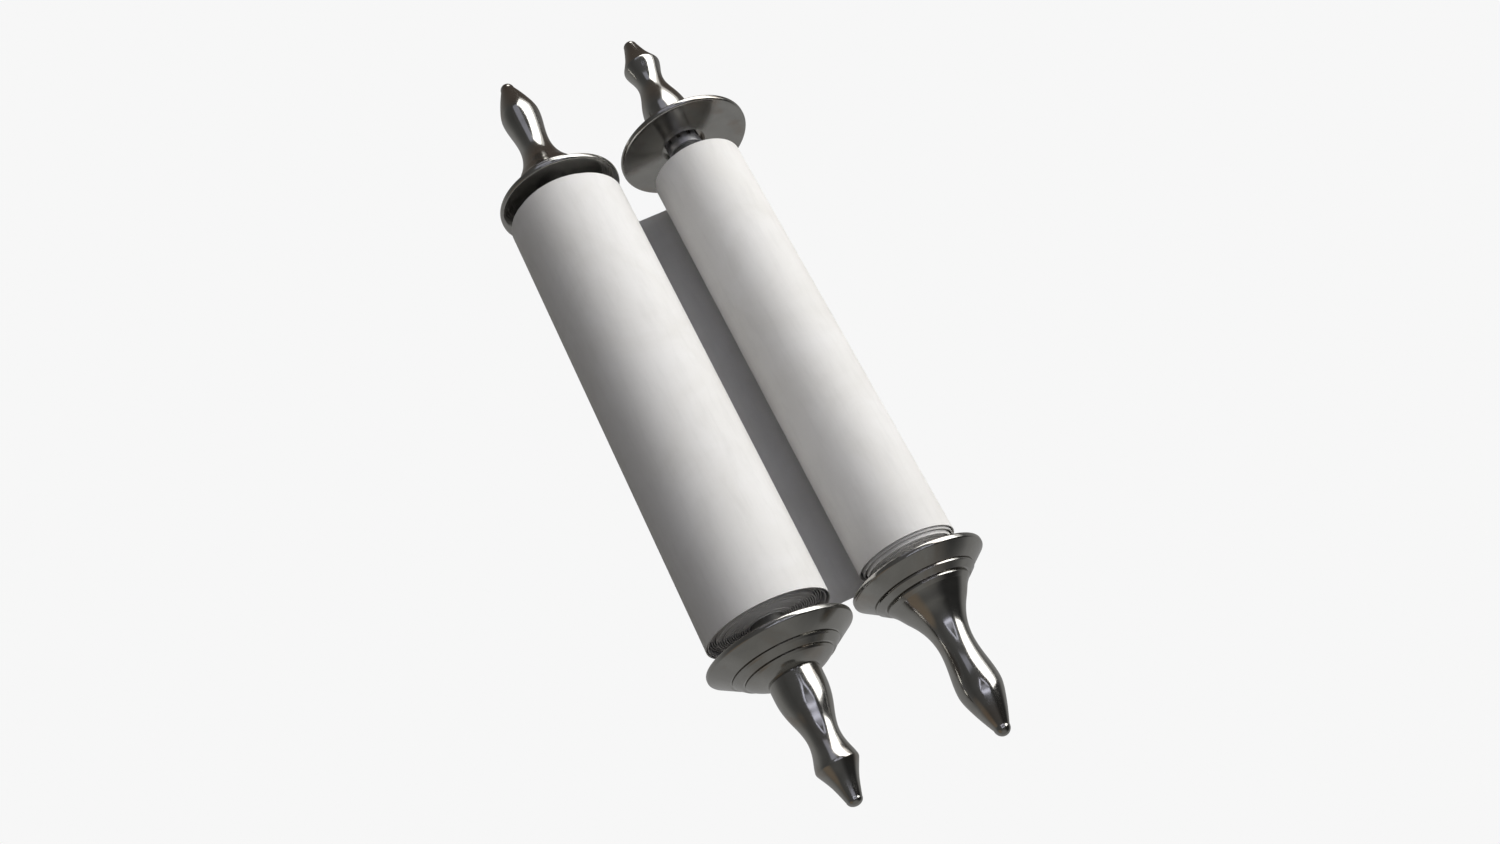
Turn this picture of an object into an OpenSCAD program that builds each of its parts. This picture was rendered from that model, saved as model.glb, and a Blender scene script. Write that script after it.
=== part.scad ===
// Double-roller parchment scroll, lying on its discs with the text side up.
// Both rollers are the same turned roller; the right one is turned end for end.
// End A carries the trumpet-flared handle, end B the barrel handle.
// +Y runs along the rollers, +X from the left roller to the right one, +Z up.

/* [Parchment] */
// Height of the open sheet, along the rollers
parchment_h = 420; // [300:1:560]
// How much taller the left roll stands than the open sheet
left_roll_extra = 8.7; // [-4:0.1:12]
// How much taller the right roll stands than the open sheet
right_roll_extra = -3; // [-4:0.1:12]
// Where the middle of the left roll stands along Y
left_roll_at = -4; // [-6:0.1:6]
// Where the middle of the right roll stands along Y
right_roll_at = -1.4; // [-6:0.1:6]
// Outer radius of the left roll
left_roll_r = 53.5; // [40:0.5:58]
// Outer radius of the right roll
right_roll_r = 42.1; // [32:0.1:54]
// Thickness of the outer turn and of the open sheet
sheet_t = 0.8; // [0.4:0.1:1.5]
// Radial play between the outer turn and the turns inside it
turn_play = 0.4; // [0.3:0.1:1]
// How far the inner turns of the left roll have drifted towards end A
left_drift = 2; // [0:0.5:6]
// How far the inner turns of the right roll have drifted towards end A
right_drift = 5; // [0:0.5:8]

/* [Rollers] */
// Space left between the neighbouring discs of the two rollers
disc_space = 6.8; // [4:0.1:80]
// Outer radius of the core tube
core_r = 14; // [12:0.5:18]
// Radius of the tie rod inside the core tube
rod_r = 5; // [4:0.5:6]
// From the parchment's edge to the rim plane of disc A
gap_a = 19.8; // [18:0.1:40]
// From the parchment's edge to the rim plane of disc B
gap_b = 28.5; // [18:0.5:50]
// How far the right roller stands beyond the left one, towards +Y
roller_shift = 2.1; // [-4:0.1:4]

/* [Discs] */
// Rim radius of disc A
disc_a_r = 57; // [52:0.5:59]
// Rim radius of disc B
disc_b_r = 62.2; // [60:0.1:64]
// Width of each disc's rim
rim_w = 5.4; // [4.6:0.1:8]
// Round on the rim's two corners
rim_round = 2; // [1:0.1:2.2]
// Depth of the shallow dish in each inner face
dish = 2.2; // [1:0.1:3]
// Height of each disc outside its rim plane
disc_h = 11.5; // [10:0.5:14]
// Radius where the cone of disc A ends
disc_a_top_r = 44.4; // [40:0.1:50]
// Radius where the cone of disc B ends
disc_b_top_r = 47.6; // [40:0.1:54]
// Width of the recess round the hub ring
recess_w = 4.4; // [3:0.1:8]
// Depth of the recess below the dish
recess_d = 5; // [3:0.5:6]
// Depth of the core tube's seat below the recess
seat_d = 4; // [3:0.5:5]

/* [Hub rings] */
// Wall of the hub ring, outside the core tube
hub_wall = 2.6; // [2:0.1:5]
// Length of the hub ring
hub_len = 13; // [10:0.5:18]
// Number of slots in the hub ring
hub_slots = 10; // [6:1:12]
// Width of a slot
slot_w = 3.2; // [2:0.1:4]
// Depth of a slot
slot_d = 5.5; // [3:0.5:8]

/* [Step rings] */
// Outer radius of the large step ring at end A
ring_a1_r = 43.2; // [40:0.1:48]
// Outer radius of the small step ring at end A
ring_a2_r = 35.6; // [34:0.1:38]
// Outer radius of the large step ring at end B
ring_b1_r = 45.8; // [42:0.1:52]
// Outer radius of the small step ring at end B
ring_b2_r = 37.4; // [34:0.1:40]
// Height of a large step ring
ring1_h = 6; // [4:0.5:8]
// Height of the small step ring at end A
ring_a2_h = 5; // [4:0.5:8]
// Height of the small step ring at end B
ring_b2_h = 8.5; // [6:0.5:12]
// How far the large step ring at end A narrows towards the handle
ring_a1_taper = 5; // [2:0.1:6]
// How far the large step ring at end B narrows towards the handle
ring_b1_taper = 6; // [2:0.1:7]
// How far the small step ring at end A narrows towards the handle
ring_a2_taper = 2.8; // [1:0.1:4]
// How far the small step ring at end B narrows towards the handle
ring_b2_taper = 13; // [8:0.5:14]
// Round on a step ring's lip
lip_round = 0.8; // [0.5:0.1:2]
// Height of the wall below a step ring's lip
ring_wall = 1.6; // [1:0.1:2]
// How far that wall leans in at end B, per mm of its height
ring_b_lean = 0.8; // [0:0.1:1]
// Hollow round at a step ring's foot
ring_foot = 0.6; // [0.3:0.1:1]
// How far the small step ring at end B bellies out of a straight taper
ring_b2_belly = 0.8; // [0:0.1:3]

/* [Handle A] */
// Length of handle A, from the small step ring to the tip
handle_a_len = 121.4; // [90:0.1:160]
// Radius of the flare where it meets the small step ring
flare_r = 32.7; // [28:0.1:32.8]
// Radius of the neck
neck_a_r = 14.7; // [12:0.1:18]
// Radius of the spindle bulge
bulge_a_r = 18.3; // [15:0.1:24]

/* [Handle B] */
// Length of handle B, from the small step ring to the tip
handle_b_len = 108.5; // [90:0.5:150]
// Radius of the barrel shaft
barrel_r = 22; // [18:0.5:26]
// Radius of the waist
waist_b_r = 13.3; // [11:0.1:18]
// Radius of the bulge's edge
bulge_b_r = 17.9; // [15:0.1:24]

/* [Clamp] */
// Width of the strip that clamps the parchment's end to the core
strip_w = 10; // [8:0.5:12]
// Thickness of the clamp strip
strip_t = 2.5; // [2:0.1:3.5]
// Length left bare at each end of the clamp strip
strip_inset = 12; // [5:1:30]
// Number of clamp screws
screw_n = 5; // [3:1:8]
// Shank radius of a clamp screw
screw_r = 1.5; // [1.2:0.1:2]
// Head radius of a clamp screw
screw_head_r = 2.8; // [2.4:0.1:3.4]
// Length of a clamp screw
screw_len = 6; // [5:0.5:7]

/* [Fits] */
// Radial clearance of the rod, the seats and the screws
fit = 0.06; // [0.05:0.01:0.2]
// Clearance between the open sheet and the outer turns
sheet_clear = 0.3; // [0.3:0.05:0.6]
// Length of the tie rod inside each handle
rod_grip = 36; // [20:1:50]

/* [Hidden] */
$fn = 96;
metal = [0.30, 0.30, 0.29];
bare_steel = [0.62, 0.62, 0.62];
parchment = [0.93, 0.92, 0.90];

// neighbouring discs are an A and a B, since the rollers lie end for end
axis_gap = disc_a_r + disc_b_r + disc_space;
axis_h = max(disc_a_r, disc_b_r, left_roll_r + sheet_clear + sheet_t);
hub_r = core_r + hub_wall;
recess_r = hub_r + recess_w;
rim_a = parchment_h / 2 + gap_a;
rim_b = parchment_h / 2 + gap_b;
// inner hub face, recess floor and core seat, measured outward from the rim plane
hub_face = dish - rim_w / 2;
recess_floor = hub_face + recess_d;
core_end = recess_floor + seat_d;
ring1_base = disc_h;
ring2_base = ring1_base + ring1_h;
handle_a_base = ring2_base + ring_a2_h;
handle_b_base = ring2_base + ring_b2_h;
bore_r = rod_r + fit;
socket_d = rod_grip + 2;
winding_gap = sheet_t + turn_play;
// the open sheet rises from the larger roll's underside to the smaller one's
sheet_tilt = asin((left_roll_r - right_roll_r) / axis_gap);
sheet_len = axis_gap * cos(sheet_tilt);
curve_steps = 8;
taper_steps = 6;
nose_steps = 10;
eps = 0.01;

// ---- outlines of the turned pieces, as [radius, height] with height outward from the rim plane ----

// cubic between two stations [height, radius, slope]
function station_r(a, b, t) =
    let (h = b[0] - a[0])
    (2 * t * t * t - 3 * t * t + 1) * a[1] + (t * t * t - 2 * t * t + t) * h * a[2]
    + (3 * t * t - 2 * t * t * t) * b[1] + (t * t * t - t * t) * h * b[2];

// a smooth outline through the stations
function flowing(stations) = [
    for (i = [0 : len(stations) - 2])
        for (k = [0 : curve_steps - 1])
            let (a = stations[i], b = stations[i + 1], t = k / curve_steps)
            [station_r(a, b, t), a[0] + t * (b[0] - a[0])]
];

// a rounded point from the last station to the tip
function nose(last, tip) = [
    for (k = [0 : nose_steps])
        let (turn = 90 * k / nose_steps)
        [max(0, last[1] * cos(turn)), last[0] + (tip - last[0]) * sin(turn)]
];

// an arc about [r, h], from one angle to another
function arc(r, h, round, from, to, steps = 12) = [
    for (k = [0 : steps])
        let (turn = from + (to - from) * k / steps)
        [r + round * cos(turn), h + round * sin(turn)]
];

// hollow foot on the ledge below, short wall that may lean in, rounded lip, then a taper that
// bellies a little
function ring_outline(r, base, high, taper, belly, lean) =
    let (lip_h = base + ring_wall, lip_r = r - lean * ring_wall - lip_round,
         turn_from = atan(lean), turn_to = 45,
         start_r = lip_r + lip_round * cos(turn_to), start_h = lip_h + lip_round * sin(turn_to))
    concat(
        [[0, base]],
        arc(r + ring_foot, base + ring_foot, ring_foot, 270, 180, 4),
        arc(lip_r, lip_h, lip_round, turn_from, turn_to, 6),
        [for (k = [1 : taper_steps]) let (t = k / taper_steps)
            [start_r + t * (r - taper - start_r) + belly * sin(180 * t),
             start_h + t * (base + high - start_h)]],
        [[0, base + high]]
    );

// dished inner face, rim with rounded corners, cone up to the first step ring
function disc_outline(r, top_r) = concat(
    [[0, hub_face], [recess_r, hub_face]],
    [for (k = [1 : 6]) let (t = k / 6)
        [recess_r + t * (r - rim_round - recess_r), hub_face - dish * t * t]],
    arc(r - rim_round, rim_round - rim_w / 2, rim_round, -90, 0),
    arc(r - rim_round, rim_w / 2 - rim_round, rim_round, 0, 50),
    [[top_r, disc_h], [0, disc_h]]
);

// handle A: flare, neck, spindle bulge, straight taper, rounded point; stations stand at fractions
// of the handle's length, with radii stepped from its neck and its bulge
tip_a = handle_a_base + handle_a_len;
nose_a = 7;
stations_a = [
    [handle_a_base, flare_r, -0.75],
    [handle_a_base + 0.09 * handle_a_len, neck_a_r + 11, -0.7],
    [handle_a_base + 0.21 * handle_a_len, neck_a_r + 3.2, -0.36],
    [handle_a_base + 0.36 * handle_a_len, neck_a_r, 0],
    [handle_a_base + 0.50 * handle_a_len, 0.55 * neck_a_r + 0.45 * bulge_a_r, 0.16],
    [handle_a_base + 0.65 * handle_a_len, bulge_a_r, 0],
    [handle_a_base + 0.78 * handle_a_len, bulge_a_r - 3.6, -0.34],
    [tip_a - nose_a, 0.37 * bulge_a_r, -0.45]
];
outline_a = concat(
    [[0, handle_a_base]],
    flowing(stations_a),
    nose(stations_a[len(stations_a) - 1], tip_a)
);

// handle B: barrel shaft, waist, sharp-edged bulge, hollow taper, rounded point; stations as for A
tip_b = handle_b_base + handle_b_len;
nose_b = 5;
stations_b = [
    [handle_b_base, barrel_r, 0],
    [handle_b_base + 0.123 * handle_b_len, barrel_r - 0.2, -0.04],
    [handle_b_base + 0.308 * handle_b_len, barrel_r - 4.4, -0.34],
    [handle_b_base + 0.484 * handle_b_len, waist_b_r, 0],
    [handle_b_base + 0.587 * handle_b_len, waist_b_r + 1.7, 0.28],
    [handle_b_base + 0.682 * handle_b_len, bulge_b_r, 0.16],
    [handle_b_base + 0.706 * handle_b_len, bulge_b_r - 0.5, -0.5],
    [handle_b_base + 0.835 * handle_b_len, 0.6 * bulge_b_r, -0.36],
    [tip_b - nose_b, 0.37 * bulge_b_r, -0.3]
];
outline_b = concat(
    [[0, handle_b_base]],
    flowing(stations_b),
    nose(stations_b[len(stations_b) - 1], tip_b)
);

// ---- placing: local +Z points outward along the roller from a rim plane ----

// side -1 is the left roller, +1 the right one; end A is up on the left and down on the right
module on_roller(side) {
    translate([side * axis_gap / 2, side * roller_shift / 2, axis_h])
        rotate([0, 0, side > 0 ? 180 : 0]) children();
}

module at_end_a(side) {
    on_roller(side) translate([0, rim_a, 0]) rotate([-90, 0, 0]) children();
}

module at_end_b(side) {
    on_roller(side) translate([0, -rim_b, 0]) rotate([90, 0, 0]) children();
}

module along_roller(side, low, high) {
    on_roller(side) translate([0, low, 0]) rotate([-90, 0, 0]) linear_extrude(high - low) children();
}

// ---- pieces of one roller ----

module core_tube(side) {
    color(bare_steel) difference() {
        along_roller(side, -(rim_b + core_end), rim_a + core_end) circle(core_r);
        along_roller(side, -(rim_b + core_end + eps), rim_a + core_end + eps) circle(bore_r);
        clamp_space(side, fit);
        screw_row(side, fit);
    }
}

module tie_rod(side) {
    color(bare_steel)
        along_roller(side, -(rim_b + handle_b_base + rod_grip), rim_a + handle_a_base + rod_grip)
            circle(rod_r);
}

// the groove along the top of the core, or the strip that fills it
module clamp_space(side, play) {
    half_w = strip_w / 2 + play;
    reach = parchment_h / 2 - strip_inset + play;
    on_roller(side) translate([-half_w, -reach, core_r - strip_t - play])
        cube([2 * half_w, 2 * reach, strip_t + 2 * play]);
}

module screw_row(side, play) {
    pitch = (parchment_h - 2 * strip_inset) / screw_n;
    top = sqrt(core_r * core_r - screw_head_r * screw_head_r) - 0.2;
    for (i = [0 : screw_n - 1])
        on_roller(side) translate([0, (i - (screw_n - 1) / 2) * pitch, top - screw_len]) {
            translate([0, 0, -play]) cylinder(r = screw_r + play, h = screw_len);
            translate([0, 0, screw_len - strip_t / 2 - play])
                cylinder(r1 = screw_r + play, r2 = screw_head_r + play, h = strip_t / 2 + play);
            if (play > 0) translate([0, 0, screw_len - eps]) cylinder(r = screw_head_r + play, h = 1);
        }
}

module clamp_strip(side) {
    color(bare_steel) difference() {
        intersection() {
            clamp_space(side, 0);
            along_roller(side, -parchment_h / 2, parchment_h / 2) circle(core_r);
        }
        screw_row(side, fit);
    }
}

module clamp_screws(side) {
    color(bare_steel) screw_row(side, 0);
}

// a roll's parchment lies where it was rolled up, so it is placed along Y and not from the roller
module along_roll(side, at, high) {
    translate([side * axis_gap / 2, at, axis_h]) rotate([-90, 0, 0])
        linear_extrude(high, center = true) children();
}

module winding(side, r, high, at) {
    color(parchment) along_roll(side, at, high)
        difference() {
            circle(r - winding_gap);
            circle(core_r + 2 * fit);
        }
}

module outer_turn(side, r, high, at) {
    color(parchment) along_roll(side, at, high)
        difference() {
            circle(r);
            circle(r - sheet_t);
        }
}

module disc(r, top_r) {
    color(metal) difference() {
        rotate_extrude() polygon(disc_outline(r, top_r));
        translate([0, 0, hub_face - 1]) cylinder(r = recess_r, h = recess_d + 1);
        translate([0, 0, recess_floor - eps]) cylinder(r = core_r + fit, h = seat_d + eps);
        cylinder(r = bore_r, h = disc_h + 1);
    }
}

// slotted ring on the core, its slots opening into the disc's recess
module hub_ring() {
    color(bare_steel) translate([0, 0, recess_floor - hub_len]) difference() {
        cylinder(r = hub_r, h = hub_len);
        translate([0, 0, -1]) cylinder(r = core_r + fit, h = hub_len + 2);
        for (i = [0 : hub_slots - 1])
            rotate([0, 0, 360 * i / hub_slots]) translate([core_r - 2, -slot_w / 2, hub_len - slot_d])
                cube([hub_r, slot_w, slot_d + 1]);
    }
}

module step_ring(r, base, high, taper, belly = 0, lean = 0) {
    color(metal) difference() {
        rotate_extrude() polygon(ring_outline(r, base, high, taper, belly, lean));
        translate([0, 0, base - 1]) cylinder(r = bore_r, h = high + 2);
    }
}

module large_ring_b() {
    step_ring(ring_b1_r, ring1_base, ring1_h, ring_b1_taper, lean = ring_b_lean);
}

module small_ring_b() {
    step_ring(ring_b2_r, ring2_base, ring_b2_h, ring_b2_taper, ring_b2_belly, ring_b_lean);
}

module handle(outline) {
    base = outline[0][1];
    color(metal) difference() {
        rotate_extrude() polygon(outline);
        translate([0, 0, base - 1]) cylinder(r = bore_r, h = socket_d + 1);
    }
}

// ---- the open sheet, tangent to the undersides of both rolls ----

module open_sheet(from, to) {
    color(parchment) translate([-axis_gap / 2, 0, axis_h]) rotate([0, -sheet_tilt, 0])
        translate([from, -parchment_h / 2, -(left_roll_r + sheet_clear + sheet_t)])
            cube([to - from, parchment_h, sheet_t]);
}

LEFT = -1;
RIGHT = 1;

core_tube(LEFT);  // left_core_tube
tie_rod(LEFT);  // left_tie_rod
clamp_strip(LEFT);  // left_clamp_strip
clamp_screws(LEFT);  // left_clamp_screws
winding(LEFT, left_roll_r, parchment_h + left_roll_extra, left_roll_at + left_drift);  // left_winding
at_end_a(LEFT) hub_ring();  // left_hub_ring_a
at_end_b(LEFT) hub_ring();  // left_hub_ring_b
at_end_a(LEFT) disc(disc_a_r, disc_a_top_r);  // left_disc_a
at_end_b(LEFT) disc(disc_b_r, disc_b_top_r);  // left_disc_b
at_end_a(LEFT) step_ring(ring_a1_r, ring1_base, ring1_h, ring_a1_taper);  // left_large_ring_a
at_end_a(LEFT) step_ring(ring_a2_r, ring2_base, ring_a2_h, ring_a2_taper);  // left_small_ring_a
at_end_b(LEFT) large_ring_b();  // left_large_ring_b
at_end_b(LEFT) small_ring_b();  // left_small_ring_b
at_end_a(LEFT) handle(outline_a);  // left_handle_a
at_end_b(LEFT) handle(outline_b);  // left_handle_b
outer_turn(LEFT, left_roll_r, parchment_h + left_roll_extra, left_roll_at);  // left_outer_turn
core_tube(RIGHT);  // right_core_tube
tie_rod(RIGHT);  // right_tie_rod
clamp_strip(RIGHT);  // right_clamp_strip
clamp_screws(RIGHT);  // right_clamp_screws
winding(RIGHT, right_roll_r, parchment_h + right_roll_extra, right_roll_at - right_drift);  // right_winding
at_end_a(RIGHT) hub_ring();  // right_hub_ring_a
at_end_b(RIGHT) hub_ring();  // right_hub_ring_b
at_end_a(RIGHT) disc(disc_a_r, disc_a_top_r);  // right_disc_a
at_end_b(RIGHT) disc(disc_b_r, disc_b_top_r);  // right_disc_b
at_end_a(RIGHT) step_ring(ring_a1_r, ring1_base, ring1_h, ring_a1_taper);  // right_large_ring_a
at_end_a(RIGHT) step_ring(ring_a2_r, ring2_base, ring_a2_h, ring_a2_taper);  // right_small_ring_a
at_end_b(RIGHT) large_ring_b();  // right_large_ring_b
at_end_b(RIGHT) small_ring_b();  // right_small_ring_b
at_end_a(RIGHT) handle(outline_a);  // right_handle_a
at_end_b(RIGHT) handle(outline_b);  // right_handle_b
outer_turn(RIGHT, right_roll_r, parchment_h + right_roll_extra, right_roll_at);  // right_outer_turn
open_sheet(0, sheet_len / 2);  // open_sheet_left
open_sheet(sheet_len / 2, sheet_len);  // open_sheet_right
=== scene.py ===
import math

import bmesh
import bpy
from mathutils import Matrix, Vector


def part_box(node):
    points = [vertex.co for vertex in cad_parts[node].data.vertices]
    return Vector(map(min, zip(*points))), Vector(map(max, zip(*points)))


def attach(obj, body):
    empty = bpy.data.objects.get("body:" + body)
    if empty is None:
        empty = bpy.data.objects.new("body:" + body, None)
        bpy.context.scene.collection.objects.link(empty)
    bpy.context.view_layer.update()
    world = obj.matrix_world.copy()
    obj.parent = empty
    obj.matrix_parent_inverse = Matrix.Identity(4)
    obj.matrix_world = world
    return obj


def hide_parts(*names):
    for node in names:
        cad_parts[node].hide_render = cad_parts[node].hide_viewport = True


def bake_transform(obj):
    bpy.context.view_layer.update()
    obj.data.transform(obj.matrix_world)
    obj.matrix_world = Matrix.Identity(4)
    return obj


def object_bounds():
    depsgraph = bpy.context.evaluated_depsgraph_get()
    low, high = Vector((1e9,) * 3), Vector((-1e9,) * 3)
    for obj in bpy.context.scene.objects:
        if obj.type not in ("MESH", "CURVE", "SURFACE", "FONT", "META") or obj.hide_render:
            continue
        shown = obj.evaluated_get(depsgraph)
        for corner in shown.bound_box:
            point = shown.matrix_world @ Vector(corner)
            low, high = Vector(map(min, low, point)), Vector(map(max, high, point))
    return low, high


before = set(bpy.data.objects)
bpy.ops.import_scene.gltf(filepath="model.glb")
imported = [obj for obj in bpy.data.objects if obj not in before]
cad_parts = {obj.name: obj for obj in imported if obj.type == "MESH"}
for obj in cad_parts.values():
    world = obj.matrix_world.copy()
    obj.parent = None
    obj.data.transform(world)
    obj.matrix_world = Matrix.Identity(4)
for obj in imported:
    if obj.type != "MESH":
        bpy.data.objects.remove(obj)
cad_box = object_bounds()

MM = 0.001
TAU = 2 * math.pi
scene = bpy.context.scene
SIDES = ("left", "right")
ENDS = ("a", "b")


def box(node):
    """Low and high corner of a CAD node, in mm."""
    low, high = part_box(node)
    return low / MM, high / MM


# ------------------------------------------------------------------ camera

CAMERA_TARGET = Vector((-0.00185, -0.0495, 0.0622))
CAMERA_AZIMUTH = -26.10
CAMERA_ELEVATION = 61.62
CAMERA_ROLL = 1.785
CAMERA_DISTANCE = 1.28557
CAMERA_LENS = 36.96
CAMERA_SENSOR = 36.0


def make_camera():
    data = bpy.data.cameras.new("camera")
    data.lens = CAMERA_LENS
    data.sensor_width = CAMERA_SENSOR
    cam = bpy.data.objects.new("camera", data)
    scene.collection.objects.link(cam)
    a, e = math.radians(CAMERA_AZIMUTH), math.radians(CAMERA_ELEVATION)
    back = Vector((math.sin(a) * math.cos(e), -math.cos(a) * math.cos(e), math.sin(e)))
    turn = (-back).to_track_quat("-Z", "Y").to_matrix()
    turn = turn @ Matrix.Rotation(math.radians(CAMERA_ROLL), 3, "Z")
    place = Matrix.Translation(CAMERA_TARGET + back * CAMERA_DISTANCE)
    cam.matrix_world = place @ turn.to_4x4()
    scene.camera = cam


make_camera()

# ------------------------------------------------------------------ sizes of the rollers, in mm

ROD_R = 5.06
CORE_R = 14.0
FIT = 0.06

RIM_W = 5.4
RIM_ROUND = 2.0
DISC_H = 11.5
DISC_TOP_R = {"a": 44.4, "b": 47.6}
DISH = 2.2
RECESS_R = 21.0
RECESS_D = 5.0
RECESS_EDGE = 0.6
SEAT_D = 4.0
HUB_FACE = DISH - RIM_W / 2
RECESS_FLOOR = HUB_FACE + RECESS_D
CORE_END = RECESS_FLOOR + SEAT_D

RING_LIP = 0.8
RING_WALL = 1.6
RING_GROOVE = 0.7
LARGE_RING = {
    "a": dict(r=43.2, base=11.5, high=6.0, taper=5.0, belly=0.0, lean=0.0),
    "b": dict(r=45.8, base=11.5, high=6.0, taper=6.0, belly=0.0, lean=0.8),
}
SMALL_RING = {
    "a": dict(r=35.6, base=17.5, high=5.0, taper=2.8, belly=0.0, lean=0.0),
    "b": dict(r=37.4, base=17.5, high=8.5, taper=13.0, belly=0.8, lean=0.8),
}

# stations of (height, radius, slope of the radius)
HANDLE = {
    "a": [(22.5, 32.7, -0.75), (33.4, 25.7, -0.70), (48.0, 17.9, -0.36), (66.2, 14.7, 0.0),
          (83.2, 16.3, 0.16), (101.4, 18.3, 0.0), (117.2, 14.7, -0.34), (136.9, 6.77, -0.45)],
    "b": [(26.0, 22.0, 0.0), (39.3, 21.8, -0.04), (59.4, 17.6, -0.34), (78.5, 13.3, 0.0),
          (89.7, 15.0, 0.28), (100.0, 17.9, 0.16), (102.6, 17.4, -0.50), (116.6, 10.74, -0.36),
          (129.5, 6.62, -0.30)],
}
HANDLE_TIP = {"a": 143.9, "b": 134.5}

HUB_WALL = 2.6
HUB_LENGTH = 13.0
HUB_SLOTS = 10
HUB_SLOT_W = 3.2
HUB_SLOT_D = 5.5
HUB_LAND_STEPS = 8
HUB_EASE = 0.35

# ------------------------------------------------------------------ sizes of the parchment, in mm

SHEET_T = 0.8
SHEET_GAP = 0.3
# the outer turn: its length, and where its end tucks in and over how much, in turns
OUTER_TURNS = 1.12
TUCK_FROM = 0.86
TUCK_OVER = 0.13
TUCK_IN = 1.6
# the angle, in radians, over which it settles from the open sheet onto the roll
SETTLED_AT = 0.9
# the winding within it: where it starts, in turns, and how far in
WINDING_START = 0.12
WINDING_IN = 2.0
WINDING_CLEAR = 0.5
PITCH = 1.9
LOOSE_PITCH = 2.4
LOOSE_TURNS = 2
# from which turn on, and how far, the turns have slipped towards +Y along the roller
SLIPS = {"left": [(0, -1.2), (1, 2.4), (4, 0.0)], "right": [(0, 3.1), (1, 0.2)]}
# a slip begins this much before its turn and takes this much of a turn
SLIP_BEFORE = 0.25
SLIP_OVER = 0.3
# (size, radians per turn, phase) of the small unevenness between turns
WOBBLES = [(0.22, 2.3, 0.0), (0.14, 5.1, 1.0)]


class Axis:
    """One end of one roller: its axis and rim plane, and which way is outward, in mm."""

    def __init__(self, side, end):
        low, high = box(f"{side}_disc_{end}")
        self.x = (low.x + high.x) / 2
        self.z = (low.z + high.z) / 2
        self.r = (high.x - low.x) / 2
        self.out = 1 if high.y > 0 else -1
        self.rim_y = high.y - DISC_H if self.out > 0 else low.y + DISC_H


AXES = {(s, e): Axis(s, e) for s in SIDES for e in ENDS}

# ------------------------------------------------------------------ shader node helpers


def new_material(name):
    mat = bpy.data.materials.new(name)
    mat.use_nodes = True
    tree = mat.node_tree
    shader = tree.nodes["Principled BSDF"]
    return mat, tree, shader


def feed(tree, socket, value):
    """Links an output to the socket, or sets the socket to a plain value."""
    if hasattr(value, "is_output"):
        tree.links.new(value, socket)
    else:
        socket.default_value = value


def add(tree, kind, inputs=None, **settings):
    node = tree.nodes.new(kind)
    for key, value in settings.items():
        setattr(node, key, value)
    for key, value in (inputs or {}).items():
        feed(tree, node.inputs[key], value)
    return node


def noise(tree, vector, scale, detail=3.0, rough=0.5, distortion=0.0):
    inputs = {"Vector": vector, "Scale": scale, "Detail": detail, "Roughness": rough,
              "Distortion": distortion}
    return add(tree, "ShaderNodeTexNoise", inputs).outputs["Fac"]


def stretched(tree, vector, scale):
    return add(tree, "ShaderNodeMapping", {"Vector": vector, "Scale": scale}).outputs["Vector"]


def remap(tree, value, from_range, to_range=(0.0, 1.0)):
    inputs = {"Value": value, "From Min": from_range[0], "From Max": from_range[1],
              "To Min": to_range[0], "To Max": to_range[1]}
    return add(tree, "ShaderNodeMapRange", inputs).outputs["Result"]


def blend_colour(tree, factor, first, second, mode="MIX"):
    """Colour sockets 6 and 7 of the mix node are its A and B, and output 2 its colour."""
    node = add(tree, "ShaderNodeMix", {"Factor": factor, 6: first, 7: second},
               data_type="RGBA", blend_type=mode)
    return node.outputs[2]


def maths(tree, operation, first, second):
    return add(tree, "ShaderNodeMath", {0: first, 1: second}, operation=operation).outputs[0]


def bump(tree, height, strength, distance, normal=None):
    inputs = {"Height": height, "Strength": strength, "Distance": distance}
    if normal is not None:
        inputs["Normal"] = normal
    return add(tree, "ShaderNodeBump", inputs).outputs["Normal"]


def object_space(tree):
    return add(tree, "ShaderNodeTexCoord").outputs["Object"]


def tinted(tint, factors):
    return (*[c * f for c, f in zip(tint, factors)], 1)


# ------------------------------------------------------------------ materials


def smoky_metal(name, tint, rough):
    """Turned and polished metal: hand smudges, brown tarnish, fine lathe lines and grain."""
    mat, tree, shader = new_material(name)
    at = object_space(tree)
    smudge = noise(tree, at, scale=26.0, detail=4.0, rough=0.62, distortion=0.6)
    grain = noise(tree, at, scale=900.0, detail=2.0)
    along = stretched(tree, at, (6.0, 900.0, 6.0))
    lathe_lines = noise(tree, along, scale=1.0, rough=0.6)
    brown_patch = noise(tree, at, scale=17.0, rough=0.55, distortion=1.2)
    polish = blend_colour(tree, remap(tree, smudge, (0.35, 0.65)),
                          tinted(tint, (0.84, 0.84, 0.84)), (*tint, 1))
    tarnish = remap(tree, brown_patch, (0.56, 0.72), (0.0, 0.55))
    brown = tinted(tint, (0.74, 0.62, 0.54))
    feed(tree, shader.inputs["Base Color"], blend_colour(tree, tarnish, polish, brown))
    spread = maths(tree, "ADD",
                   remap(tree, smudge, (0.3, 0.7), (rough * 0.82, rough * 1.22)),
                   remap(tree, grain, (0.3, 0.7), (-0.012, 0.012)))
    feed(tree, shader.inputs["Roughness"], spread)
    shader.inputs["Metallic"].default_value = 1.0
    turned_normal = bump(tree, lathe_lines, strength=0.10, distance=0.00004)
    normal = bump(tree, grain, strength=0.05, distance=0.00003, normal=turned_normal)
    feed(tree, shader.inputs["Normal"], normal)
    return mat


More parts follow.
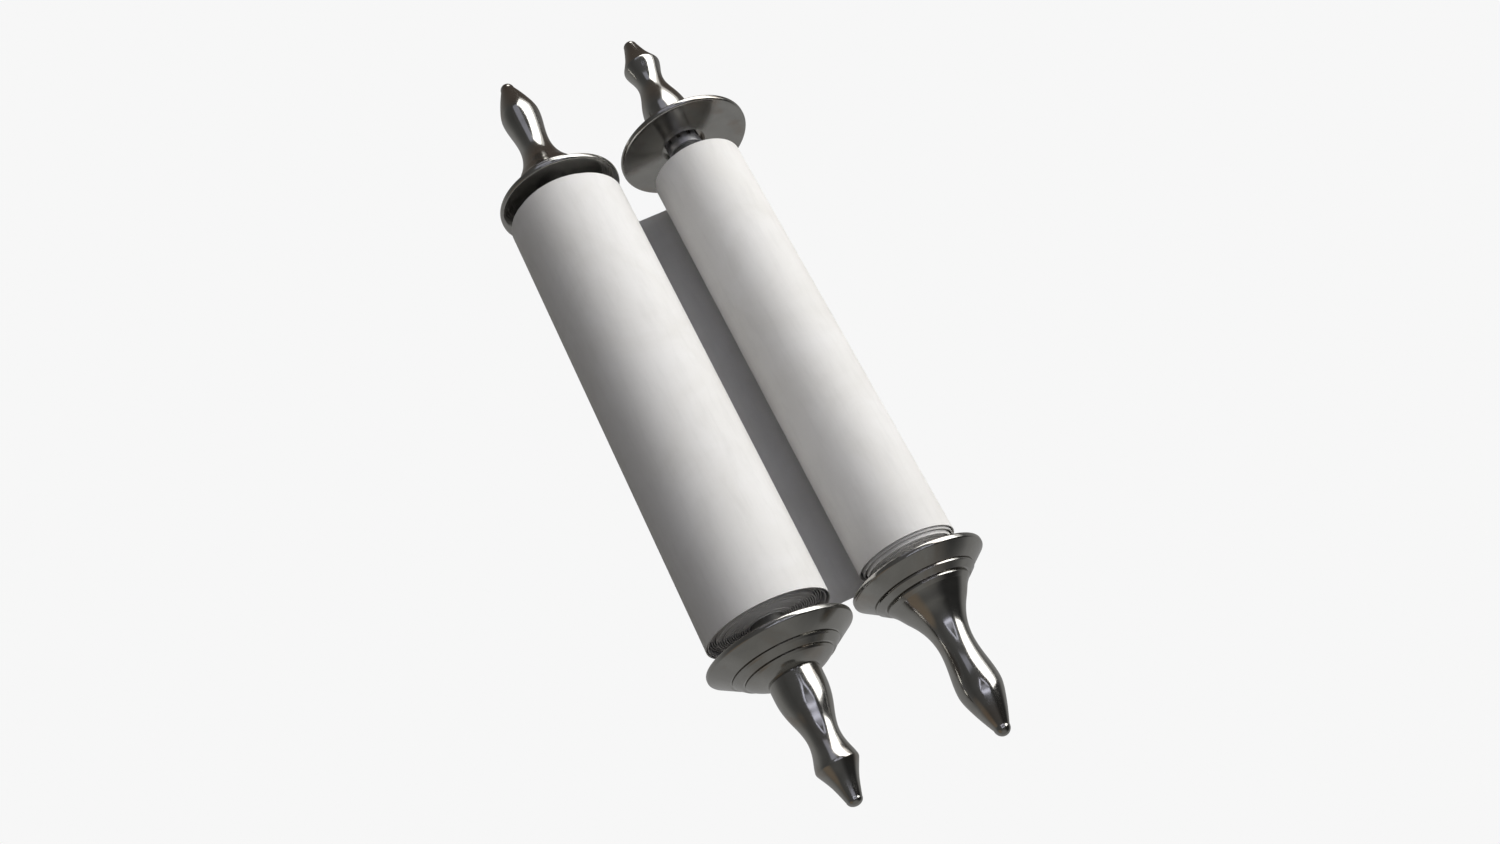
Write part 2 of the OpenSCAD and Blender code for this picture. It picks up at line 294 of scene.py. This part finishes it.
def parchment_material(name, tint):
    """Scraped skin: cloudy, faint fibres across the sheet, pores, and a soft tooth."""
    mat, tree, shader = new_material(name)
    at = object_space(tree)
    cloud = noise(tree, at, scale=14.0, detail=5.0, rough=0.6, distortion=0.8)
    fibre = noise(tree, stretched(tree, at, (150.0, 26.0, 150.0)), scale=1.0, detail=4.0,
                  rough=0.65)
    pore = noise(tree, at, scale=1400.0, detail=2.0)
    tooth = noise(tree, at, scale=420.0, detail=4.0, rough=0.6)
    base = blend_colour(tree, remap(tree, cloud, (0.32, 0.62)),
                        tinted(tint, (0.935, 0.93, 0.915)), (*tint, 1))
    veins = remap(tree, fibre, (0.30, 0.52), (0.955, 1.0))
    specks = remap(tree, pore, (0.22, 0.34), (0.93, 1.0))
    marks = maths(tree, "MULTIPLY", veins, specks)
    grey = add(tree, "ShaderNodeCombineColor", {"Red": marks, "Green": marks, "Blue": marks})
    colour = blend_colour(tree, 1.0, base, grey.outputs["Color"], "MULTIPLY")
    feed(tree, shader.inputs["Base Color"], colour)
    feed(tree, shader.inputs["Roughness"], remap(tree, cloud, (0.3, 0.7), (0.62, 0.78)))
    shader.inputs["Specular IOR Level"].default_value = 0.35
    fibre_normal = bump(tree, fibre, strength=0.16, distance=0.00012)
    normal = bump(tree, tooth, strength=0.14, distance=0.00006, normal=fibre_normal)
    feed(tree, shader.inputs["Normal"], normal)
    return mat


def brushed_metal(name, tint, rough):
    """Plain turned metal with close lathe lines and darker stains."""
    mat, tree, shader = new_material(name)
    at = object_space(tree)
    lines = noise(tree, stretched(tree, at, (60.0, 2200.0, 60.0)), scale=1.0, rough=0.6)
    stain = noise(tree, at, scale=60.0, rough=0.6)
    colour = blend_colour(tree, remap(tree, stain, (0.35, 0.65)),
                          tinted(tint, (0.7, 0.7, 0.7)), (*tint, 1))
    feed(tree, shader.inputs["Base Color"], colour)
    feed(tree, shader.inputs["Roughness"],
         remap(tree, lines, (0.3, 0.7), (rough * 0.8, rough * 1.25)))
    shader.inputs["Metallic"].default_value = 1.0
    feed(tree, shader.inputs["Normal"], bump(tree, lines, strength=0.2, distance=0.00005))
    return mat


METAL = smoky_metal("smoky_metal", (0.50, 0.49, 0.465), 0.145)
HUB_METAL = brushed_metal("hub_metal", (0.66, 0.66, 0.68), 0.44)
INNER_METAL = brushed_metal("inner_metal", (0.36, 0.355, 0.345), 0.42)
PARCHMENT = parchment_material("parchment_skin", (0.80, 0.79, 0.775))

# ------------------------------------------------------------------ turned metal

SEGMENTS = 144
OUTLINE_STEPS = 14
DISH_STEPS = 16
LATHE_CREASE = math.radians(32)
CREASE = math.radians(40)
# corners of a rim: degrees from the radius, and steps
RIM_INNER_CORNER = dict(start=-86, stop=-6, steps=12)
RIM_OUTER_CORNER = dict(start=6, stop=50, steps=8)
RECESS_CORNER = dict(start=180, stop=270, steps=6)
LIP_STOP = 45
LIP_STEPS = 8


def link(name, mesh_maker, material, body, replaces=()):
    """Makes a piece in place of CAD nodes; without a body, it is left unattached."""
    mesh = bpy.data.meshes.new(name)
    bm = bmesh.new()
    mesh_maker(bm)
    bmesh.ops.recalc_face_normals(bm, faces=bm.faces)
    bm.to_mesh(mesh)
    bm.free()
    obj = bpy.data.objects.new(name, mesh)
    scene.collection.objects.link(obj)
    mesh.materials.append(material)
    if replaces:
        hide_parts(*replaces)
    if body:
        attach(obj, body)
    return obj


def outline_corner(before, here, after):
    """The angle by which an outline turns at a point."""
    u = (here[0] - before[0], here[1] - before[1])
    v = (after[0] - here[0], after[1] - here[1])
    lengths = math.hypot(*u) * math.hypot(*v)
    if lengths < 1e-12:
        return 0.0
    return math.acos(max(-1.0, min(1.0, (u[0] * v[0] + u[1] * v[1]) / lengths)))


def lathe(bm, axis, outline, closed):
    """Turns an outline of (radius, height outward from the rim plane), in mm, round the axis."""
    rings = []
    for r, h in outline:
        y = (axis.rim_y + axis.out * h) * MM
        if r < 1e-6:
            rings.append([bm.verts.new((axis.x * MM, y, axis.z * MM))])
        else:
            rings.append([bm.verts.new(((axis.x + r * math.cos(TAU * k / SEGMENTS)) * MM, y,
                                        (axis.z + r * math.sin(TAU * k / SEGMENTS)) * MM))
                          for k in range(SEGMENTS)])
    count = len(rings)
    for i in range(count if closed else count - 1):
        a, b = rings[i], rings[(i + 1) % count]
        for k in range(SEGMENTS):
            n = (k + 1) % SEGMENTS
            if len(a) == 1:
                face = (a[0], b[n], b[k])
            elif len(b) == 1:
                face = (a[k], a[n], b[0])
            else:
                face = (a[k], a[n], b[n], b[k])
            bm.faces.new(face).smooth = True
    for i in range(count):
        if len(rings[i]) == 1 or (not closed and i in (0, count - 1)):
            continue
        if outline_corner(outline[i - 1], outline[i], outline[(i + 1) % count]) > LATHE_CREASE:
            for k in range(SEGMENTS):
                edge = bm.edges.get((rings[i][k], rings[i][(k + 1) % SEGMENTS]))
                if edge:
                    edge.smooth = False


def arc(r, h, radius, start, stop, steps):
    """Points on an arc round (r, h), from start to stop in degrees."""
    return [(r + radius * math.cos(math.radians(start + (stop - start) * k / steps)),
             h + radius * math.sin(math.radians(start + (stop - start) * k / steps)))
            for k in range(steps + 1)]


def flowing(stations):
    """A smooth outline through stations of (height, radius, slope)."""
    points = []
    for (h0, r0, s0), (h1, r1, s1) in zip(stations, stations[1:]):
        span = h1 - h0
        for k in range(OUTLINE_STEPS):
            t = k / OUTLINE_STEPS
            r = ((2 * t ** 3 - 3 * t ** 2 + 1) * r0 + (t ** 3 - 2 * t ** 2 + t) * span * s0
                 + (3 * t ** 2 - 2 * t ** 3) * r1 + (t ** 3 - t ** 2) * span * s1)
            points.append((r, h0 + t * span))
    return points


def nose(last, tip):
    """A quarter ellipse from the last station to the tip's height."""
    points = []
    for k in range(OUTLINE_STEPS + 1):
        angle = math.pi / 2 * k / OUTLINE_STEPS
        r = max(0.0, last[1] * math.cos(angle)) if k < OUTLINE_STEPS else 0.0
        points.append((r, last[0] + (tip - last[0]) * math.sin(angle)))
    return points


def disc_outline(r, top_r):
    """A disc: seat for the core, recess, dished inner face, rounded rim, cone outside."""
    recess_edge_r = RECESS_R + RECESS_EDGE
    corner_r, corner_h = r - RIM_ROUND, RIM_W / 2 - RIM_ROUND
    dish = [(recess_edge_r + t * (r - RIM_ROUND - RECESS_R - RECESS_EDGE),
             HUB_FACE - DISH * t * t) for t in [k / DISH_STEPS for k in range(1, DISH_STEPS + 1)]]
    return ([(ROD_R, DISC_H), (ROD_R, CORE_END), (CORE_R + FIT, CORE_END),
             (CORE_R + FIT, RECESS_FLOOR), (RECESS_R, RECESS_FLOOR)]
            + arc(recess_edge_r, HUB_FACE + RECESS_EDGE, RECESS_EDGE, **RECESS_CORNER)
            + dish
            + arc(corner_r, -corner_h, RIM_ROUND, **RIM_INNER_CORNER)[1:]
            + [(r, 0.0)]
            + arc(corner_r, corner_h, RIM_ROUND, **RIM_OUTER_CORNER)
            + [(top_r, DISC_H)])


def ring_outline(r, base, high, taper, belly, lean):
    """A step ring: grooved foot, wall that leans in, eased lip, then a taper with a belly."""
    lip_r, lip_h = r - lean * RING_WALL - RING_LIP, base + RING_WALL
    start_r = lip_r + RING_LIP * math.cos(math.radians(LIP_STOP))
    start_h = lip_h + RING_LIP * math.sin(math.radians(LIP_STOP))
    side = [(start_r + t * (r - taper - start_r) + belly * math.sin(math.pi * t),
             start_h + t * (base + high - start_h))
            for t in [k / OUTLINE_STEPS for k in range(1, OUTLINE_STEPS + 1)]]
    groove = [(r - RING_GROOVE, base), (r - 0.7 * RING_GROOVE, base + 0.5 * RING_GROOVE),
              (r, base + RING_GROOVE)]
    lip = arc(lip_r, lip_h, RING_LIP, math.degrees(math.atan(lean)), LIP_STOP, LIP_STEPS)
    return [(ROD_R, base)] + groove + lip + side + [(ROD_R, base + high)]


def handle_outline(end):
    stations = HANDLE[end]
    return [(0.0, stations[0][0])] + flowing(stations) + nose(stations[-1], HANDLE_TIP[end])


def turned(side, end, part, outline, closed=True):
    """A lathed piece in place of the CAD node of the same part."""
    axis = AXES[side, end]
    node = f"{side}_{part}_{end}"
    link(f"{node}_turned", lambda bm: lathe(bm, axis, outline, closed), METAL,
         f"{side}_roller", (node,))


def hub_marks(outer):
    """Angles round a hub ring, in degrees, and whether a slot begins there."""
    half = math.degrees(HUB_SLOT_W / 2 / outer)
    step = 360 / HUB_SLOTS
    marks = []
    for i in range(HUB_SLOTS):
        mid = 360 * i / HUB_SLOTS
        marks.append((mid - half, True))
        marks.append((mid + half, False))
        for k in range(1, HUB_LAND_STEPS):
            marks.append((mid + half + (step - 2 * half) * k / HUB_LAND_STEPS, False))
    return marks


def hub_ring(side, end):
    """Ring on the core with slots that open into the disc's recess; edges eased by a bevel."""
    axis = AXES[side, end]
    inner, outer = CORE_R + FIT, CORE_R + HUB_WALL
    back, front = RECESS_FLOOR - HUB_LENGTH, RECESS_FLOOR
    marks = hub_marks(outer)

    def make(bm):
        def vert(a, r, h):
            return bm.verts.new(((axis.x + r * math.cos(math.radians(a))) * MM,
                                 (axis.rim_y + axis.out * h) * MM,
                                 (axis.z + r * math.sin(math.radians(a))) * MM))
        n = len(marks)
        low_o = [vert(a, outer, back) for a, _ in marks]
        low_i = [vert(a, inner, back) for a, _ in marks]
        mid_o = [vert(a, outer, front - HUB_SLOT_D) for a, _ in marks]
        mid_i = [vert(a, inner, front - HUB_SLOT_D) for a, _ in marks]
        solid = [not cut for _, cut in marks]
        high_o, high_i = [None] * n, [None] * n
        for k in range(n):
            if solid[k] or solid[k - 1]:
                high_o[k] = vert(marks[k][0], outer, front)
                high_i[k] = vert(marks[k][0], inner, front)
        for k in range(n):
            m = (k + 1) % n
            bm.faces.new((low_o[k], low_o[m], mid_o[m], mid_o[k])).smooth = True
            bm.faces.new((low_i[k], mid_i[k], mid_i[m], low_i[m])).smooth = True
            bm.faces.new((low_o[k], low_i[k], low_i[m], low_o[m]))
            if solid[k]:
                bm.faces.new((mid_o[k], mid_o[m], high_o[m], high_o[k])).smooth = True
                bm.faces.new((mid_i[k], high_i[k], high_i[m], mid_i[m])).smooth = True
                bm.faces.new((high_o[k], high_o[m], high_i[m], high_i[k]))
                if not solid[k - 1]:
                    bm.faces.new((mid_o[k], high_o[k], high_i[k], mid_i[k]))
                if not solid[m]:
                    bm.faces.new((mid_o[m], mid_i[m], high_i[m], high_o[m]))
            else:
                bm.faces.new((mid_o[k], mid_o[m], mid_i[m], mid_i[k]))

    ring = link(f"{side}_hub_ring_{end}_slotted", make, HUB_METAL, f"{side}_roller",
                (f"{side}_hub_ring_{end}",))
    ease = ring.modifiers.new("ease", "BEVEL")
    ease.width, ease.segments = HUB_EASE * MM, 2
    ease.limit_method, ease.angle_limit = "ANGLE", CREASE


for side in SIDES:
    for end in ENDS:
        turned(side, end, "disc", disc_outline(AXES[side, end].r, DISC_TOP_R[end]))
        turned(side, end, "large_ring", ring_outline(**LARGE_RING[end]))
        turned(side, end, "small_ring", ring_outline(**SMALL_RING[end]))
        turned(side, end, "handle", handle_outline(end), closed=False)
        hub_ring(side, end)

for side in SIDES:
    for part in ("core_tube", "tie_rod", "clamp_strip", "clamp_screws"):
        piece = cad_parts[f"{side}_{part}"]
        piece.data.materials.clear()
        piece.data.materials.append(INNER_METAL)

# ------------------------------------------------------------------ parchment

AXIS_GAP = AXES["right", "a"].x - AXES["left", "a"].x
ROLL_R = {s: (box(f"{s}_outer_turn")[1].x - box(f"{s}_outer_turn")[0].x) / 2 for s in SIDES}
# the open sheet lies on the common tangent under both rolls, which tilts a little
TILT = math.asin((ROLL_R["left"] - ROLL_R["right"]) / AXIS_GAP)
TANGENT = -math.pi / 2 + TILT
TURN_WAY = {"left": -1, "right": 1}
STEPS_PER_TURN = 96
CELLS_ACROSS_TURN = 24
OPEN_CELLS = 24
OPEN_ROWS = 40


def ease_between(t):
    t = max(0.0, min(1.0, t))
    return t * t * (3 - 2 * t)


def ribbon(bm, side, line, low, high, across):
    """A thin closed strip wound along line, points of (angle, radius, shift of its two edges)."""
    axis = AXES[side, "a"]
    rows = []
    for angle, radius, shift in line:
        row = []
        for r in (radius + SHEET_T / 2, radius - SHEET_T / 2):
            x, z = axis.x + r * math.cos(angle), axis.z + r * math.sin(angle)
            ys = [low + shift + (high - low) * k / across for k in range(across + 1)]
            row.append([bm.verts.new((x * MM, y * MM, z * MM)) for y in ys])
        rows.append(row)
    for a, b in zip(rows, rows[1:]):
        for k in range(across):
            bm.faces.new((a[0][k], a[0][k + 1], b[0][k + 1], b[0][k])).smooth = True
            bm.faces.new((a[1][k], b[1][k], b[1][k + 1], a[1][k + 1])).smooth = True
        bm.faces.new((a[0][0], b[0][0], b[1][0], a[1][0]))
        bm.faces.new((a[0][-1], a[1][-1], b[1][-1], b[0][-1]))
    for a in (rows[0], rows[-1]):
        for k in range(across):
            bm.faces.new((a[0][k], a[1][k], a[1][k + 1], a[0][k + 1]))
    bmesh.ops.recalc_face_normals(bm, faces=bm.faces)
    bm.normal_update()
    for edge in bm.edges:
        if len(edge.link_faces) == 2 and edge.calc_face_angle(0) > CREASE:
            edge.smooth = False


def outer_turn(side):
    """The turn that meets the open sheet: it rolls along but doesn't spin."""
    low, high = box(f"{side}_outer_turn")
    r, way = ROLL_R[side], TURN_WAY[side]
    start = r + SHEET_GAP + SHEET_T / 2
    turn_r, tuck = r - SHEET_T / 2, r - TUCK_IN
    line = []
    count = int(STEPS_PER_TURN * OUTER_TURNS)
    for k in range(count + 1):
        u = OUTER_TURNS * TAU * k / count
        radius = start + (turn_r - start) * ease_between(u / SETTLED_AT)
        radius += (tuck - turn_r) * ease_between((u - TAU * TUCK_FROM) / (TAU * TUCK_OVER))
        line.append((TANGENT + way * u, radius, 0.0))

    def make(bm):
        ribbon(bm, side, line, low.y, high.y, CELLS_ACROSS_TURN)

    obj = link(f"{side}_outer_turn_skin", make, PARCHMENT, f"{side}_carriage",
               (f"{side}_outer_turn",))


def slip_at(side, turns):
    """Each step between neighbouring slips lies on the roll's underside."""
    steps = SLIPS[side]
    slip = steps[0][1]
    for (_, before), (turn, after) in zip(steps, steps[1:]):
        slip += (after - before) * ease_between((turns - turn + SLIP_BEFORE) / SLIP_OVER)
    return slip


def winding(side):
    """The turns inside: a few loose ones outside, then wound tight down to the core."""
    low, high = box(f"{side}_winding")
    way = TURN_WAY[side]
    line = []
    u, radius = 0.0, ROLL_R[side] - WINDING_IN
    start = TANGENT + way * TAU * WINDING_START
    step = TAU / STEPS_PER_TURN
    while radius > CORE_R + WINDING_CLEAR:
        turns = u / TAU
        radius -= (LOOSE_PITCH if turns < LOOSE_TURNS else PITCH) / STEPS_PER_TURN
        wobble = sum(size * math.sin(wave * turns + phase) for size, wave, phase in WOBBLES)
        shift = slip_at(side, turns) + wobble * ease_between(turns - 1)
        line.append((start + way * u, radius, shift))
        u += step
    obj = link(f"{side}_winding_turns", lambda bm: ribbon(bm, side, line, low.y, high.y, 1),
               PARCHMENT, f"{side}_roller", (f"{side}_winding",))


for side in SIDES:
    winding(side)
    outer_turn(side)


def open_half(side):
    """Half of the open sheet, from the middle to where it meets the roll."""
    node = f"open_sheet_{side}"
    low, high = box(node)
    left = AXES["left", "a"]
    out = Vector((math.sin(TILT), 0, -math.cos(TILT)))
    along = Vector((math.cos(TILT), 0, math.sin(TILT)))
    origin = Vector((left.x, 0, left.z)) + out * (ROLL_R["left"] + SHEET_GAP + SHEET_T / 2)
    length = AXIS_GAP * math.cos(TILT)
    ends = (length / 2, 0.0) if side == "left" else (length / 2, length)

    def make(bm):
        grid = []
        for i in range(OPEN_CELLS + 1):
            d = ends[0] + (ends[1] - ends[0]) * i / OPEN_CELLS
            line = []
            for k in range(OPEN_ROWS + 1):
                y = low.y + (high.y - low.y) * k / OPEN_ROWS
                p = origin + along * d + Vector((0, y, 0))
                line.append([bm.verts.new((p + out * (s * SHEET_T / 2)) * MM) for s in (1, -1)])
            grid.append(line)
        for i in range(OPEN_CELLS):
            here, there = grid[i], grid[i + 1]
            for k in range(OPEN_ROWS):
                for s in (0, 1):
                    bm.faces.new((here[k][s], there[k][s], there[k + 1][s], here[k + 1][s]))
            for k in (0, OPEN_ROWS):
                bm.faces.new((here[k][0], here[k][1], there[k][1], there[k][0]))
        for line in (grid[0], grid[-1]):
            for k in range(OPEN_ROWS):
                bm.faces.new((line[k][0], line[k + 1][0], line[k + 1][1], line[k][1]))

    obj = link(f"open_sheet_{side}_skin", make, PARCHMENT, None, (node,))
    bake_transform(obj)


for side in SIDES:
    open_half(side)

# ------------------------------------------------------------------ studio, in m

WHITE = (1.0, 0.995, 0.98)
LILAC = (0.80, 0.82, 1.0)
CEILING = 3.0
PALE = (0.930, 0.930, 0.930, 1)
FLOOR_GREY = (0.45, 0.45, 0.44, 1)
FLOOR_SIZE = 6.0
FLOOR_DROP = 0.0005
# (height from 0, straight down, to 1, straight up; brightness) of the room the metal reflects
ROOM = [(0.0, 0.34), (0.30, 0.27), (0.48, 0.15), (0.60, 0.10), (0.78, 0.08), (1.0, 0.11)]
ROOM_WARMTH = 0.985
# (direction, cosine at its edge, cosine where it is full, colour) of patches in the room
PATCHES = [
    ((0.80, -0.50, 0.34), 0.70, 0.92, (0.03, 0.03, 0.03, 1)),
    ((-0.10, -1.0, 0.10), 0.72, 0.97, (0.22, 0.218, 0.21, 1)),
    ((-0.76, -0.64, 0.17), 0.90, 0.985, (0.21, 0.17, 0.13, 1)),
    ((0.25, 1.0, -0.10), 0.60, 0.93, (0.095, 0.078, 0.066, 1)),
]


def panel(name, place, width, height, radiance, colour):
    """A rectangular area light; place is its matrix, facing its own -Z."""
    data = bpy.data.lights.new(name, "AREA")
    data.shape = "RECTANGLE"
    data.size, data.size_y = width, height
    data.color = colour
    data.energy = radiance * math.pi * width * height
    obj = bpy.data.objects.new(name, data)
    obj.matrix_world = place
    scene.collection.objects.link(obj)
    obj.visible_camera = False


def softbox(name, azimuth, elevation, distance, width, height, radiance):
    """A softbox that faces the object. Azimuth 0 is towards +Y, 90 towards +X."""
    a, e = math.radians(azimuth), math.radians(elevation)
    way = Vector((math.sin(a) * math.cos(e), math.cos(a) * math.cos(e), math.sin(e)))
    turn = way.to_track_quat("Z", "Y").to_matrix().to_4x4()
    panel(name, Matrix.Translation(way * distance) @ turn, width, height, radiance, WHITE)


def ceiling(name, start, end, width, radiance):
    """A strip light on the ceiling, from start to end (x, y)."""
    start, end = Vector(start), Vector(end)
    middle, along = (start + end) / 2, end - start
    turn = Matrix.Rotation(math.atan2(along.y, along.x), 4, "Z")
    place = Matrix.Translation((middle.x, middle.y, CEILING)) @ turn
    panel(name, place, along.length, width, radiance, LILAC)


def make_lights():
    softbox("key", azimuth=58, elevation=40, distance=4.0, width=6.6, height=2.7, radiance=4.05)
    softbox("key_low", azimuth=58, elevation=15, distance=4.0, width=6.0, height=0.9, radiance=1.0)
    ceiling("lamp_base", (-0.9, -1.35), (1.5, -1.35), width=0.30, radiance=1.5)
    ceiling("lamp_left", (-0.85, -1.10), (0.12, 0.40), width=0.22, radiance=1.5)
    ceiling("lamp_right", (1.45, -1.10), (0.48, 0.40), width=0.22, radiance=1.5)
    ceiling("lamp_middle", (-0.35, -0.90), (0.95, -0.90), width=0.5, radiance=0.40)
    ceiling("lamp_far", (-0.67, 1.35), (-0.67, 3.85), width=1.6, radiance=0.38)


def make_world():
    """A dim room for light and reflections, and an even pale tone for the camera."""
    world = bpy.data.worlds.new("studio")
    scene.world = world
    world.use_nodes = True
    tree = world.node_tree
    tree.nodes.clear()
    way = add(tree, "ShaderNodeTexCoord").outputs["Generated"]
    height = add(tree, "ShaderNodeSeparateXYZ", {"Vector": way}).outputs["Z"]
    ramp = add(tree, "ShaderNodeValToRGB", {"Fac": remap(tree, height, (-1.0, 1.0))})
    stops = ramp.color_ramp.elements
    for stop, (at, value) in zip((stops[0], stops[1]), (ROOM[0], ROOM[-1])):
        stop.position = at
        stop.color = (value, value, value, 1)
    for at, value in ROOM[1:-1]:
        stops.new(at).color = (value, value, value * ROOM_WARMTH, 1)
    room = ramp.outputs["Color"]
    for direction, edge, full, colour in PATCHES:
        turn = add(tree, "ShaderNodeVectorMath", {0: way, 1: Vector(direction).normalized()},
                   operation="DOT_PRODUCT").outputs["Value"]
        room = blend_colour(tree, remap(tree, turn, (edge, full)), room, colour)
    seen = add(tree, "ShaderNodeLightPath").outputs["Is Camera Ray"]
    shown = blend_colour(tree, seen, room, PALE)
    background = add(tree, "ShaderNodeBackground", {"Color": shown, "Strength": 1.0})
    add(tree, "ShaderNodeOutputWorld", {"Surface": background.outputs["Background"]})


def make_floor():
    """A grey floor that lights the object from below, pale to the camera, not mirrored."""
    mesh = bpy.data.meshes.new("floor")
    bm = bmesh.new()
    bmesh.ops.create_grid(bm, x_segments=1, y_segments=1, size=FLOOR_SIZE)
    bm.to_mesh(mesh)
    bm.free()
    floor = bpy.data.objects.new("floor", mesh)
    floor.location.z = cad_box[0].z - FLOOR_DROP
    floor.visible_glossy = False
    scene.collection.objects.link(floor)
    mat = bpy.data.materials.new("pale_floor")
    mat.use_nodes = True
    tree = mat.node_tree
    tree.nodes.clear()
    seen = add(tree, "ShaderNodeLightPath").outputs["Is Camera Ray"]
    pale = add(tree, "ShaderNodeEmission", {"Color": PALE, "Strength": 1.0})
    grey = add(tree, "ShaderNodeBsdfDiffuse", {"Color": FLOOR_GREY})
    mix = add(tree, "ShaderNodeMixShader",
              {0: seen, 1: grey.outputs["BSDF"], 2: pale.outputs["Emission"]})
    add(tree, "ShaderNodeOutputMaterial", {"Surface": mix.outputs["Shader"]})
    mesh.materials.append(mat)


make_lights()
make_world()
make_floor()

scene.view_settings.view_transform = "Standard"
scene.view_settings.look = "None"
scene.cycles.use_denoising = True
scene.cycles.max_bounces = 8
scene.cycles.diffuse_bounces = 2
scene.cycles.sample_clamp_indirect = 6.0
